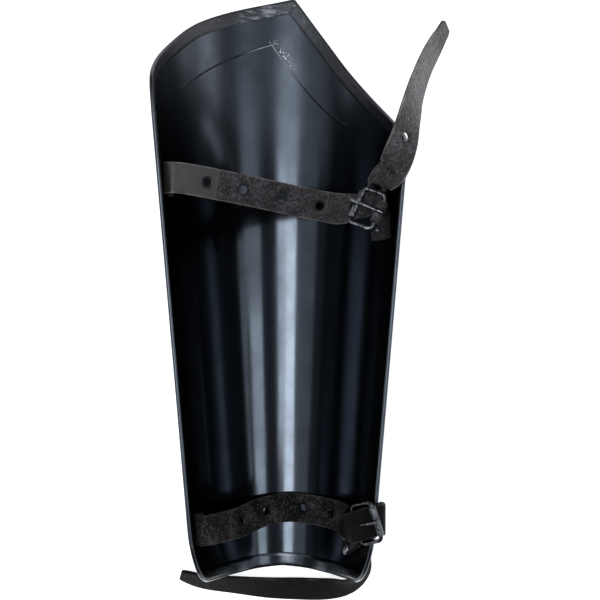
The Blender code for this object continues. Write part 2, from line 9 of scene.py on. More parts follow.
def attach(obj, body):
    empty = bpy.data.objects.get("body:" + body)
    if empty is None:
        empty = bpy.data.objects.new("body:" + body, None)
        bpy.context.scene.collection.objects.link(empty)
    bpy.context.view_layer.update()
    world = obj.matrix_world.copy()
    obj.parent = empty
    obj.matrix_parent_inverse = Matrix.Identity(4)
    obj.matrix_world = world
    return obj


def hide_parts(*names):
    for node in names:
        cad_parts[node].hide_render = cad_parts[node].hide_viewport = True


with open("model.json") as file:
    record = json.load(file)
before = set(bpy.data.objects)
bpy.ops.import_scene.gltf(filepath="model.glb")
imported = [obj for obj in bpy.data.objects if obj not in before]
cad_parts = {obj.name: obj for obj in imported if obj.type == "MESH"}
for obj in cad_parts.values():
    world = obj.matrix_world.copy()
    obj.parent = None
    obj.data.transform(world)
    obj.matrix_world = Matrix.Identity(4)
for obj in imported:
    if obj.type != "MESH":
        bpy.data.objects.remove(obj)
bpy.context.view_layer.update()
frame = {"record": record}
mounts = {mount["name"]: mount for mount in frame["record"]["mounts"]}

plate = {
    "length": 0.411,
    "ankleHalfWidth": 0.062,
    "kneeHalfWidth": 0.0955,
    "ankleDepth": 0.078,
    "kneeDepth": 0.104,
    "sheet": 0.0012,
    "hemWidth": 0.008,
    "hemGap": 0.0005,
    "tuck": 0.005,
    "tuckLength": 0.035,
    "columnsLeft": 80,
    "columnsRight": 68,
    "rows": 110,
    "foldSteps": 8,
    "hemSteps": 6,
    "hemDrop": 0.00035,
    "waves": 0.00004,
}
# the shin mount lies under the middle of the plate, half its length from the ankle
zero = Vector(mounts["shin_rest"]["pos_m"]) - Vector((0, plate["length"] / 2, 0))
# the rims: how far round the leg, -1 and 1 at the raw edges, and how far up it as a share of the length
apexGirth = 0.055
kneeRim = (
    (-1.000, 0.785), (-0.985, 0.815), (-0.950, 0.838), (-0.880, 0.858), (-0.667, 0.904),
    (-0.444, 0.950), (-0.211, 0.979), (apexGirth, 1.000), (0.193, 0.935), (0.361, 0.864),
    (0.540, 0.809), (0.711, 0.771), (0.930, 0.733), (0.985, 0.718), (1.000, 0.692),
)
ankleRim = (
    (0.00, 0.000), (0.20, -0.004), (0.38, -0.009), (0.60, -0.012),
    (0.80, -0.010), (0.90, -0.003), (0.97, 0.014), (1.00, 0.048),
)


# helpers for shapes
def between(low, high, share):
    return low + (high - low) * share


def eased(start, end, startSlope, endSlope, span, t):
    early = start * (1 + 2 * t) + startSlope * span * t
    late = end * (3 - 2 * t) - endSlope * span * (1 - t)
    return early * (1 - t) ** 2 + late * t * t


def smoothValue(rows, x):
    steps = [(b[1] - a[1]) / (b[0] - a[0]) for a, b in zip(rows, rows[1:])]
    slopes = [steps[0]]
    for before, after in zip(steps, steps[1:]):
        slopes.append(0.0 if before * after <= 0 else 2 * before * after / (before + after))
    slopes.append(steps[-1])
    for i, (a, b) in enumerate(zip(rows, rows[1:])):
        if x <= b[0] or i == len(rows) - 2:
            span = b[0] - a[0]
            t = min(max((x - a[0]) / span, 0.0), 1.0)
            return eased(a[1], b[1], slopes[i], slopes[i + 1], span, t)


def hump(x, middle, width):
    return math.exp(-(((x - middle) / width) ** 2))


def halfWidth(y):
    outside = between(plate["ankleHalfWidth"], plate["kneeHalfWidth"], y / plate["length"])
    return outside - plate["sheet"] / 2


def depthAt(y):
    return between(plate["ankleDepth"], plate["kneeDepth"], y / plate["length"]) - plate["sheet"] / 2


def wallPoint(girth, y):
    angle = girth * math.pi / 2
    tuck = plate["tuck"] * max(0.0, 1 - y / plate["tuckLength"]) ** 2
    side = halfWidth(y) * math.sin(angle) - tuck * math.sin(angle) ** 3
    return Vector((side, y, plate["sheet"] / 2 + depthAt(y) * (1 - math.cos(angle))))


def wallNormal(girth, y):
    d = 0.001
    across = wallPoint(girth + d, y) - wallPoint(girth - d, y)
    return across.cross(wallPoint(girth, y + d) - wallPoint(girth, y - d)).normalized()


def wallShare(point):
    rise = 1 - (point.z - plate["sheet"] / 2) / depthAt(point.y)
    return math.atan2(point.x / halfWidth(point.y), rise) / (math.pi / 2)


def offWall(girth, y, distance):
    return wallPoint(girth, y) + wallNormal(girth, y) * distance


def newObject(name, mesh):
    made = bpy.data.objects.new(name, mesh)
    bpy.context.scene.collection.objects.link(made)
    return made


def applied(obj):
    graph = bpy.context.evaluated_depsgraph_get()
    mesh = bpy.data.meshes.new_from_object(obj.evaluated_get(graph))
    for tool in [step.object for step in obj.modifiers if step.type == "BOOLEAN"]:
        bpy.data.objects.remove(tool)
    obj.modifiers.clear()
    obj.data = mesh
    return obj


def punch(obj, holes):
    tool = newObject(obj.name + "Tool", cutterMesh(obj.name + "Tool", holes))
    tool.hide_render = True
    cut = obj.modifiers.new("Punch", "BOOLEAN")
    cut.operation = "DIFFERENCE"
    cut.solver = "EXACT"
    cut.object = tool


def dress(obj, material, nodes, sharp=38):
    mesh = obj.data
    mesh.transform(Matrix.Translation(zero))
    mesh.materials.clear()
    mesh.materials.append(material)
    for polygon in mesh.polygons:
        polygon.use_smooth = True
        polygon.material_index = 0
    mesh.set_sharp_from_angle(angle=math.radians(sharp))
    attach(obj, "root")
    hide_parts(*nodes)
    print("made", obj.name, len(mesh.polygons), "faces")
    return obj


# helpers for materials
class Shade:
    def __init__(self, name):
        self.material = bpy.data.materials.new(name)
        self.material.use_nodes = True
        self.tree = self.material.node_tree
        self.skin = self.tree.nodes["Principled BSDF"]

    def add(self, kind, **inputs):
        made = self.tree.nodes.new("ShaderNode" + kind)
        for key, value in inputs.items():
            if key in made.inputs:
                self.put(made.inputs[key], value)
            else:
                setattr(made, key, value)
        return made

    def put(self, socket, value):
        if isinstance(value, bpy.types.NodeSocket):
            self.tree.links.new(value, socket)
        else:
            socket.default_value = value

    def maths(self, operation, *values):
        made = self.tree.nodes.new("ShaderNodeMath")
        made.operation = operation
        for socket, value in zip(made.inputs, values):
            self.put(socket, value)
        return made.outputs[0]

    def plus(self, a, b):
        return self.maths("ADD", a, b)

    def minus(self, a, b):
        return self.maths("SUBTRACT", a, b)

    def times(self, first, *others):
        for other in others:
            first = self.maths("MULTIPLY", first, other)
        return first

    def larger(self, a, b):
        return self.maths("MAXIMUM", a, b)

    def size(self, value):
        return self.maths("ABSOLUTE", value)

    def blend(self, share, a, b):
        return self.plus(self.times(share, self.minus(b, a)), a)

    # 1 within the inner distance of the middle, 0 past the outer one
    def near(self, value, middle, inner, outer):
        return self.spread(self.size(self.minus(value, middle)), outer, inner, smooth=True)

    def spread(self, value, low, high, newLow=0.0, newHigh=1.0, smooth=False):
        made = self.tree.nodes.new("ShaderNodeMapRange")
        if smooth:
            made.interpolation_type = "SMOOTHSTEP"
        for socket, given in zip(made.inputs, (value, low, high, newLow, newHigh)):
            self.put(socket, given)
        return made.outputs[0]

    def mix(self, share, a, b):
        made = self.tree.nodes.new("ShaderNodeMix")
        made.data_type = "RGBA"
        self.put(made.inputs[0], share)
        self.put(made.inputs[6], a)
        self.put(made.inputs[7], b)
        return made.outputs[2]

    def place(self, scale=(1, 1, 1)):
        mapping = self.tree.nodes.new("ShaderNodeMapping")
        mapping.inputs["Scale"].default_value = scale
        self.tree.links.new(self.add("TexCoord").outputs["Object"], mapping.inputs["Vector"])
        return mapping.outputs[0]

    def noise(self, where, scale, detail=3.0, roughness=0.5):
        made = self.add("TexNoise", Vector=where, Scale=scale, Detail=detail, Roughness=roughness)
        return made.outputs[0]

    def relief(self, height, distance, strength=1.0, under=None):
        made = self.add("Bump", Height=height, Distance=distance, Strength=strength)
        if under:
            self.tree.links.new(under, made.inputs["Normal"])
        return made.outputs[0]

    def set(self, **inputs):
        for key, value in inputs.items():
            self.put(self.skin.inputs[key.replace("_", " ")], value)


# camera, straight above as in the photo
view = {"place": (0.0127, 0.1925, 1.300), "lens": 106.56, "sensor": 36.0}


def makeCamera():
    camera = bpy.data.cameras.new("camera")
    camera.lens = view["lens"]
    camera.sensor_width = view["sensor"]
    made = bpy.data.objects.new("camera", camera)
    bpy.context.scene.collection.objects.link(made)
    made.location = zero + Vector(view["place"])
    bpy.context.scene.camera = made


makeCamera()
print("camera placed")


# blackened steel plate
plateFinish = {
    "steel": (0.046, 0.053, 0.063, 1),
    "cloud": (0.034, 0.039, 0.047, 1),
    "hem": (0.044, 0.045, 0.050, 1),
    "worn": (0.15, 0.155, 0.165, 1),
    # pale colour of the scratches and streaks, also used for the painted highlight at the crease corner
    "glint": (0.50, 0.52, 0.55, 1),
    "sheetRoughness": (0.11, 0.17),
    "hemRoughness": (0.40, 0.27),
    "kneeHaze": 0.13,
    "creaseDepth": 0.00028,
    "creaseWidth": 0.0007,
    # how far up the leg each one starts and is full
    "hazeSpan": (0.26, 0.35),
    "wearSpan": (0.375, 0.40),
    "streakSpan": (0.380, 0.390),
    "streakStrength": 0.26,
    # middle, distance where it is full, distance where it ends
    "cornerGlint": (-0.0078, 0.008, 0.026),
    "scratchesWide": (0.2465, 0.001, 0.004),
    "scratchesLong": (0.001, 0.005, 0.011),
    "hemStreaks": (-0.018, 0.009, 0.020),
}
# the scored chevron below the knee rim: how far to the side, how far up the leg
creaseLeft = (
    (-0.0723, 0.3419), (-0.0591, 0.3540), (-0.0410, 0.3658),
    (-0.0310, 0.3705), (-0.0151, 0.3766), (-0.0019, 0.3804),
)
creaseRight = (
    (-0.0100, 0.3826), (-0.0078, 0.3789), (0.0054, 0.3607),
    (0.0200, 0.3421), (0.0345, 0.3270), (0.0453, 0.3191),
)


# steepness turns the distance up the leg into the distance square to the line
def creaseLine(shade, x, y, line, steepness):
    low, high = line[0][0], line[-1][0]
    bottom = min(p[1] for p in line)
    top = max(p[1] for p in line)
    curve = shade.tree.nodes.new("ShaderNodeFloatCurve")
    points = curve.mapping.curves[0].points
    rows = [((px - low) / (high - low), (py - bottom) / (top - bottom)) for px, py in line]
    points[0].location = rows[0]
    points[1].location = rows[-1]
    for row in rows[1:-1]:
        points.new(*row)
    curve.mapping.update()
    shade.put(curve.inputs["Value"], shade.spread(x, low, high))
    wanted = shade.spread(curve.outputs[0], 0.0, 1.0, bottom, top)
    away = shade.times(shade.size(shade.minus(y, wanted)), steepness)
    groove = shade.spread(away, 0.0, plateFinish["creaseWidth"], 1.0, 0.0, smooth=True)
    starts = shade.spread(x, low - 0.001, low + 0.004, smooth=True)
    ends = shade.spread(x, high + 0.001, high - 0.002, smooth=True)
    return shade.times(groove, starts, ends)


def steelPlate():
    shade, finish = Shade("blackenedSteel"), plateFinish
    where = shade.place()
    split = shade.add("SeparateXYZ", Vector=shade.add("TexCoord").outputs["Object"])
    x, y = shade.minus(split.outputs[0], zero.x), shade.minus(split.outputs[1], zero.y)
    hem = shade.add("Attribute", attribute_name="hem").outputs["Fac"]
    cloud = shade.noise(where, 34.0, 5.0, 0.6)
    streak = shade.noise(shade.place((1.0, 0.06, 1.0)), 420.0, 3.0, 0.6)
    fine = shade.noise(where, 1500.0, 2.0)
    steel = shade.mix(shade.spread(cloud, 0.35, 0.65), finish["steel"], finish["cloud"])
    rough = shade.plus(cloud, shade.times(streak, 0.5))
    rough = shade.spread(rough, 0.5, 1.0, *finish["sheetRoughness"])
    haze = shade.spread(y, *finish["hazeSpan"], 0.0, finish["kneeHaze"], smooth=True)
    rough = shade.plus(rough, haze)

    # the turned edge, worn and streaked at the knee
    wear = shade.spread(shade.noise(where, 190.0, 6.0, 0.7), 0.58, 0.70)
    worn = shade.times(wear, shade.spread(y, *finish["wearSpan"]))
    worn = shade.mix(worn, finish["hem"], finish["worn"])
    streaks = shade.noise(shade.place((0.10, 0.8, 0.5)), 900.0, 3.0, 0.55)
    streaks = shade.times(shade.spread(streaks, 0.50, 0.66), shade.near(x, *finish["hemStreaks"]))
    streaks = shade.times(streaks, shade.spread(y, *finish["streakSpan"], 0.0, finish["streakStrength"]))
    worn = shade.mix(streaks, worn, finish["glint"])
    colour = shade.mix(hem, steel, worn)
    rough = shade.blend(hem, rough, shade.spread(wear, 0, 1, *finish["hemRoughness"]))

    # the crease, with a painted highlight at its corner, and the scratches along its right side
    left = creaseLine(shade, x, y, creaseLeft, 0.86)
    crease = shade.larger(left, creaseLine(shade, x, y, creaseRight, 0.62))
    glint = shade.times(shade.maths("POWER", crease, 3.0), shade.near(x, *finish["cornerGlint"]))
    across = shade.plus(shade.times(x, 0.75), shade.times(y, 0.66))
    patch = shade.times(shade.near(across, *finish["scratchesWide"]), shade.near(x, *finish["scratchesLong"]))
    scratched = shade.times(patch, shade.spread(shade.noise(where, 700.0, 5.0, 0.75), 0.56, 0.64), 0.8)
    colour = shade.mix(shade.larger(scratched, glint), colour, finish["glint"])
    rough = shade.plus(rough, shade.times(glint, 0.25))

    normal = shade.relief(streak, 0.00002, 0.5)
    normal = shade.relief(fine, 0.00001, 0.6, normal)
    normal = shade.relief(shade.times(hem, shade.noise(where, 300.0, 4.0, 0.65)), 0.0004, 0.8, normal)
    normal = shade.relief(crease, finish["creaseDepth"], 1.0, normal)
    shade.set(Base_Color=colour, Metallic=1.0, Roughness=rough, Normal=normal)
    return shade.material


def girthColumns():
    left, right = plate["columnsLeft"], plate["columnsRight"]
    made = [-1 + (apexGirth + 1) * (i / left) ** 1.2 for i in range(left)]
    return made + [1 - (1 - apexGirth) * (i / right) ** 1.2 for i in range(right, -1, -1)]


# the hem is narrower at the notch on the left edge and at the mitre below the apex
def hemShare(point):
    notch = hump(point.y, 0.3235, 0.0011) if point.x < -0.05 else 0.0
    mitre = hump(point.x, wallPoint(apexGirth, plate["length"]).x - 0.0012, 0.0008) if point.y > 0.35 else 0.0
    return max(0.12, 1 - 0.85 * notch - 0.8 * mitre)


def makePlate(holes):
    columns = girthColumns()
    bm = bmesh.new()
    mark = bm.verts.layers.float.new("hem")
    grid = []
    for row in range(plate["rows"] + 1):
        share = row / plate["rows"]
        line = []
        for girth in columns:
            left = [r for r in kneeRim if r[0] <= apexGirth]
            right = [r for r in kneeRim if r[0] >= apexGirth]
            top = smoothValue(left if girth <= apexGirth else right, girth) * plate["length"]
            low = smoothValue(ankleRim, abs(girth)) * plate["length"]
            y = between(low, top, share)
            wave = math.sin(girth * 38 + 2.2 * math.sin(y * 9))
            wave += 0.7 * noise.noise(Vector((girth * 9, y * 8, 0.3)))
            fade = min(1.0, 4 * share, 4 * (1 - share), 6 * (1 - abs(girth)))
            line.append(bm.verts.new(offWall(girth, y, plate["waves"] * wave * fade)))
        grid.append(line)
    for low, high in zip(grid, grid[1:]):
        for i in range(len(columns) - 1):
            bm.faces.new((low[i], low[i + 1], high[i + 1], high[i]))

    # the edge turned in and laid back on the inside
    edge = grid[0][:-1] + [row[-1] for row in grid[:-1]] + grid[-1][:0:-1] + [row[0] for row in grid[:0:-1]]
    count = len(edge)
    fold = (plate["sheet"] + plate["hemGap"]) / 2
    rings = [[] for _ in range(plate["foldSteps"] + plate["hemSteps"])]
    for i, vert in enumerate(edge):
        point = vert.co
        normal = wallNormal(wallShare(point), point.y)
        before = (point - edge[i - 1].co).cross(normal).normalized()
        after = (edge[(i + 1) % count].co - point).cross(normal).normalized()
        outward = (before + after).normalized()
        outward /= max(outward.dot(after), 0.6)
        dent = 0.00012 * noise.noise(point * 90) + 0.00005 * noise.noise(point * 300)
        for k in range(plate["foldSteps"]):
            turn = math.pi * (k + 1) / plate["foldSteps"]
            rings[k].append(point + outward * fold * math.sin(turn) + normal * fold * (1 - math.cos(turn)))
        reach = plate["hemWidth"] * hemShare(point) * (1 + 0.03 * noise.noise(point * 60))
        for k in range(plate["hemSteps"]):
            seat = point - outward * reach * min(1.0, (k + 1) / (plate["hemSteps"] - 0.4))
            drop = plate["hemDrop"] if k == plate["hemSteps"] - 1 else 0.0
            rings[plate["foldSteps"] + k].append(offWall(wallShare(seat), seat.y, 2 * fold + dent - drop))
    previous = edge
    for k, ring in enumerate(rings):
        made = [bm.verts.new(point) for point in ring]
        for vert in made:
            knee = min(max((vert.co.y / plate["length"] - 0.45) / 0.35, 0.0), 1.0)
            vert[mark] = between(0.25, 1.0, knee) * (1.0 if k >= plate["foldSteps"] // 2 else 0.5)
        for i in range(count):
            j = (i + 1) % count
            bm.faces.new((previous[j], previous[i], made[i], made[j]))
        previous = made
    mesh = bpy.data.meshes.new("shinPlate")
    bm.to_mesh(mesh)
    bm.free()
    made = newObject("shinPlate", mesh)
    wall = made.modifiers.new("Thickness", "SOLIDIFY")
    wall.thickness = plate["sheet"]
    wall.offset = 0.0
    wall.use_even_offset = False
    punch(made, holes)
    return dress(applied(made), steelPlate(), ["shin_plate"], 30)


# straps and chapes
strap = {
    "width": 0.0215,
    "thickness": 0.0025,
    "hole": 0.006,
    "pitch": 0.0275,
    "upperFirst": 0.0495,
    "lowerFirst": 0.0665,
    "upperHoles": 8,
    "lowerHoles": 6,
    "edgeTurn": 0.0055,
    "upperTip": 0.030,
    "lowerTip": 0.022,
    "tipShare": 0.55,
    "edgeEase": 0.0008,
    "wave": 0.00010,
    "crumple": 0.0010,
    "step": 0.0012,
    "wallGap": 0.0014,
    "seatGap": 0.0003,
    "punchReach": 0.004,
    "backShift": 0.1,
}
chapeSize = {
    "width": 0.016,
    "thickness": 0.002,
    "layerGap": 0.0003,
    "fold": 0.007,
    "slot": (0.0036, 0.0096),
    "slotReach": 0.012,
    "step": 0.001,
}
buckle = {
    "length": 0.030,
    "width": 0.0195,
    "wire": 0.0028,
    "corner": 0.0035,
    "roller": 0.005,
    "rollerLength": 0.0205,
    "rollerEase": 0.0003,
    "tongue": 0.0024,
    "upperGirth": 0.900,
    "upperAlong": 0.617,
    "upperStandoff": 0.0222,
    "upperBar": (0.43, 0.88, -0.30),
    "upperReach": (-0.87, 0.34, -0.25),
    "lowerAlong": 0.1015,
    "lowerLift": 0.0074,
    "lowerBar": (0.30, -0.954, 0.0),
    "lowerReach": (0.78, 0.24, 0.58),
}
heel = (buckle["width"] - buckle["wire"]) / 2
heelClearance = buckle["wire"] / 2 + 5 * strap["seatGap"] + buckle["tongue"] + strap["thickness"] / 2
belowRoller = buckle["roller"] / 2 + strap["seatGap"] + strap["thickness"] / 2
offWallBy = plate["sheet"] / 2 + strap["wallGap"] + strap["thickness"] / 2
hook = buckle["wire"] / 2 + strap["seatGap"] + buckle["tongue"] / 2
overRoller = buckle["roller"] / 2 + strap["seatGap"] + buckle["tongue"] / 2

# walls: how far round, how far up. Spans: how far to the side, up the leg and off the floor, as shares
# of the plate there. Tails: the same as shares of its end, then the lean in degrees and, where there
# are five, the compass direction it leans to. Under the buckle: places on the frame, the share of the
# width that is left, and the slope in degrees.
upperWall = ((-0.800, 0.668), (-0.865, 0.670), (-0.905, 0.672))
upperSpan = (
    (-0.885, 0.672, 0.905), (-0.790, 0.671, 0.855), (-0.500, 0.662, 0.700), (-0.240, 0.652, 0.635),
    (0.000, 0.642, 0.620), (0.320, 0.628, 0.655), (0.500, 0.622, 0.735),
)
upperUnderBuckle = (
    (0.000, 0.428, -0.00405, 0.85, 0), (0.080, 0.110, -0.00560, 0.62, 0),
    (0.280, 0.040, -0.00600, 0.58, 0), (0.480, 0.060, -0.00660, 0.56, 12),
    (0.610, 0.075, -0.00400, 0.60, 55), (0.675, 0.025, 0.00200, 0.72, 80),
)
upperTail = (
    (0.758, 0.675, 0.815, -24), (0.792, 0.684, 0.920, -20), (0.863, 0.730, 0.986, 25),
    (0.913, 0.773, 0.897, 44), (0.980, 0.825, 0.637, 54), (1.076, 0.879, 0.307, 58),
    (1.170, 0.920, 0.055, 60), (1.244, 0.953, 0.000, 60),
)
lowerWall = ((-0.740, 0.078), (-0.820, 0.078), (-0.860, 0.079))
lowerSpan = (
    (-0.855, 0.079, 0.850), (-0.760, 0.079, 0.770), (-0.480, 0.083, 0.430), (-0.230, 0.094, 0.150),
    (0.060, 0.101, 0.062), (0.320, 0.098, 0.105), (0.600, 0.093, 0.330), (0.680, 0.091, 0.620),
)
lowerTail = (
    (1.113, 0.1010, 0.7045, 90, 0), (1.068, 0.0900, 0.5370, 95, -5), (0.990, 0.0584, 0.3450, 98, -12),
    (0.960, 0.0195, 0.2060, 85, -22), (0.911, -0.0146, 0.1130, 65, -42), (0.750, -0.0353, 0.0440, 48, -64),
    (0.500, -0.0426, 0.0060, 39, -80), (0.161, -0.0421, 0.0000, 38, -88), (-0.161, -0.0405, 0.0000, 42, -92),
    (-0.484, -0.0360, 0.0000, 49, -95), (-0.919, -0.0290, 0.0000, 56, -97),
    (-1.194, -0.0170, 0.0000, 58, -100),
)
upperChapeRun = ((0.640, 0.588), (0.740, 0.590), (0.810, 0.594))
lowerChapeRun = ((0.560, 0.044), (0.660, 0.056), (0.720, 0.064))


def smoothPath(stations, step):
    lengths = [0.0]
    for a, b in zip(stations, stations[1:]):
        lengths.append(lengths[-1] + (b[0] - a[0]).length)

    def slope(i, column):
        low, high = max(i - 1, 0), min(i + 1, len(stations) - 1)
        return (stations[high][column] - stations[low][column]) / (lengths[high] - lengths[low])

    def place(distance, column):
        i = max(k for k in range(len(lengths) - 1) if lengths[k] <= distance)
        span = lengths[i + 1] - lengths[i]
        t = (distance - lengths[i]) / span
        ends = stations[i][column], stations[i + 1][column]
        return eased(*ends, slope(i, column), slope(i + 1, column), span, t)

    count = max(2, round(lengths[-1] / step))
    marks = [lengths[-1] * i / count for i in range(count + 1)]
    return withTangents([(place(mark, 0), place(mark, 1), place(mark, 2)) for mark in marks])


def withTangents(stations):
    path = []
    last = len(stations) - 1
    for i, (centre, normal, gather) in enumerate(stations):
        tangent = (stations[min(i + 1, last)][0] - stations[max(i - 1, 0)][0]).normalized()
        path.append((centre, tangent, (normal - tangent * normal.dot(tangent)).normalized(), gather))
    return path


def walked(path):
    made = [0.0]
    for a, b in zip(path, path[1:]):
        made.append(made[-1] + (b[0] - a[0]).length)
    return made


def pathAt(path, distance):
    marks = walked(path)
    for i in range(len(path) - 1):
        if distance <= marks[i + 1]:
            t = (distance - marks[i]) / (marks[i + 1] - marks[i])
            return tuple(path[i][k].lerp(path[i + 1][k], t) for k in range(3))
    return path[-1][:3]


def sectionOf(across=12):
    flats = [between(-1, 1, k / across) for k in range(across + 1)]
    edge = ((0.84, 0.84), (1.0, 0.0), (0.84, -0.84))
    points = [(flat, 0.0, 1.0) for flat in flats] + [(1.0, out, up) for out, up in edge]
    return points + [(flat, 0.0, -1.0) for flat in flats[::-1]] + [(-1.0, out, -up) for out, up in edge]


def ribbon(name, path, width, thickness, tip=0.0, cutters=()):
    marks = walked(path)
    total = marks[-1]
    section = sectionOf()
    count = len(section)
    bm = bmesh.new()
    uv = bm.loops.layers.uv.new("strapUV")
    seed = len(name) * 3.7
    half, ease = thickness / 2, strap["edgeEase"]
    rings, sides = [], []
    for (centre, tangent, normal, gather), mark in zip(path, marks):
        side = tangent.cross(normal)
        share = gather
        if tip:
            reach = min(max(0.0, (mark - total + tip) / tip), 1.0)
            share *= between(strap["tipShare"], 1.0, math.sqrt(1 - reach ** 2))
        wrinkle = 5 * noise.noise(Vector((mark * 70, seed, 0)))
        ring, spreads = [], []
        for flat, out, up in section:
            spread = (width / 2 - ease) * flat * share + math.copysign(ease * out, flat)
            fold = (1 - gather) * strap["crumple"] * math.cos(flat * 7 + wrinkle)
            wave = strap["wave"] * noise.noise(Vector((mark * 60, flat * 1.3 + seed, seed)))
            lift = half * up + fold + wave
            spread *= 1 + 0.012 * noise.noise(Vector((mark * 45, seed, 0)))
            ring.append(bm.verts.new(centre - side * spread + normal * lift))
            spreads.append(spread + (strap["backShift"] if up < 0 else 0.0))
        rings.append(ring)
        sides.append(spreads)
    for i, (low, high) in enumerate(zip(rings, rings[1:])):
        for k in range(count):
            n = (k + 1) % count
            face = bm.faces.new((low[k], high[k], high[n], low[n]))
            for loop, (a, b) in zip(face.loops, ((i, k), (i + 1, k), (i + 1, n), (i, n))):
                loop[uv].uv = (marks[a], sides[a][b])
    bm.faces.new(rings[0][::-1])
    bm.faces.new(rings[-1])
    bmesh.ops.recalc_face_normals(bm, faces=bm.faces)
    mesh = bpy.data.meshes.new(name)
    bm.to_mesh(mesh)
    bm.free()
    made = newObject(name, mesh)
    punch(made, cutters)
    return applied(made)


def cutterMesh(name, cutters):
    bm = bmesh.new()
    for cutter in cutters:
        if cutter[0] == "round":
            _, start, end, radius = cutter
            turn = (end - start).to_track_quat("Z", "Y").to_matrix().to_4x4()
            middle = Matrix.Translation((start + end) / 2)
            bmesh.ops.create_cone(bm, cap_ends=True, segments=28, radius1=radius, radius2=radius,
                                  depth=(end - start).length, matrix=middle @ turn)
        else:
            _, place, size = cutter
            bmesh.ops.create_cube(bm, size=1.0, matrix=place @ Matrix.Diagonal((*size, 1.0)))
    mesh = bpy.data.meshes.new(name)
    bm.to_mesh(mesh)
    bm.free()
    return mesh


def strapLift(lean):
    angle = math.radians(lean)
    edge = strap["width"] / 2 * abs(math.sin(angle))
    return edge + strap["thickness"] / 2 * abs(math.cos(angle)) + strap["seatGap"]


def tailPoint(side, along, up, lean, end):
    wide, deep = plate[end + "HalfWidth"], plate[end + "Depth"]
    return Vector((side * wide, along * plate["length"], up * deep + strapLift(lean)))


def withNormals(rows):
    stations = []
    for i, (centre, lean, gather) in enumerate(rows):
        heading = (rows[min(i + 1, len(rows) - 1)][0] - rows[max(i - 1, 0)][0]).normalized()
        upright = Vector((0, 0, 1))
        upright = (upright - heading * upright.dot(heading)).normalized()
        angle = math.radians(lean)
        normal = upright * math.cos(angle) + heading.cross(upright) * math.sin(angle)
        stations.append((centre, normal, gather))
    return stations


def wallStations(rows, distance, sign):
    made = []
    for girth, along in rows:
        y = along * plate["length"]
        made.append((offWall(girth, y, distance), wallNormal(girth, y) * sign, 1.0))
    return made


def spanPoints(rows):
    made = []
    for side, along, up in rows:
        y = along * plate["length"]
        made.append((Vector((side * halfWidth(y), y, plate["sheet"] / 2 + up * depthAt(y))), 0, 1.0))
    return made


def bucklePlace(origin, bar, reach):
    y = reach.normalized()
    x = (bar - y * bar.dot(y)).normalized()
    return Matrix.Translation(origin) @ Matrix((x, y, x.cross(y))).transposed().to_4x4()


def upperBucklePlace():
    y = buckle["upperAlong"] * plate["length"]
    centre = offWall(buckle["upperGirth"], y, buckle["upperStandoff"])
    return bucklePlace(centre, Vector(buckle["upperBar"]), Vector(buckle["upperReach"]))


def lowerBucklePlace():
    y = buckle["lowerAlong"] * plate["length"]
    edgeTop = plate["sheet"] + depthAt(y) + (plate["sheet"] + plate["hemGap"]) / 2
    roller = Vector((halfWidth(y), y, edgeTop + buckle["lowerLift"]))
    reach = Vector(buckle["lowerReach"]).normalized()
    return bucklePlace(roller - reach * heel, Vector(buckle["lowerBar"]), reach)


def upperStrapPath(place):
    wall = wallStations(upperWall, offWallBy, -1)
    rows = spanPoints(upperSpan)
    start = len(rows)
    for bar, reach, height, gather, _ in upperUnderBuckle:
        rows.append((place @ Vector((bar * buckle["length"], reach * buckle["width"], height)), 0, gather))
    for side, along, up, lean in upperTail:
        rows.append((tailPoint(side, along, up, lean, "knee"), lean, 1.0))
    stations = withNormals(rows)
    for i, (*_, rise) in enumerate(upperUnderBuckle, start):
        angle = math.radians(rise)
        normal = place.to_3x3() @ Vector((-math.sin(angle), 0, math.cos(angle)))
        stations[i] = (stations[i][0], normal, stations[i][2])
    return smoothPath(wall + stations, strap["step"])


def lowerStrapPath(place):
    wall = wallStations(lowerWall, offWallBy, -1)
    rows = spanPoints(lowerSpan)
    start = len(rows)
    angles = [math.radians(degrees) for degrees in (165, 125, 85)]
    roundHeel = [Vector((0, math.cos(angle), math.sin(angle))) for angle in angles]
    for out in roundHeel:
        rows.append((place @ (Vector((0, -heel, 0)) + out * heelClearance), 0, 1.0))
    under = place @ Vector((0, heel, 0)) - Vector((0, 0, belowRoller))
    rows.append((under, 0, 1.0))
    stations = withNormals(rows)
    for i, out in enumerate(roundHeel):
        stations[start + i] = (rows[start + i][0], place.to_3x3() @ out, 1.0)
    stations[-1] = (under, Vector((0, 0, 1)), 1.0)
    for degrees in (45, 90):
        angle = math.radians(degrees)
        out = Vector((math.sin(angle), 0, math.cos(angle)))
        stations.append((under + (out - Vector((0, 0, 1))) * strap["edgeTurn"], out, 1.0))
    for side, along, up, lean, compass in lowerTail:
        tilt, turn = math.radians(lean), math.radians(compass)
        normal = Vector((math.sin(tilt) * math.cos(turn), math.sin(tilt) * math.sin(turn), math.cos(tilt)))
        stations.append((tailPoint(side, along, up, lean, "ankle"), normal, 1.0))
    return smoothPath(wall + stations, strap["step"])


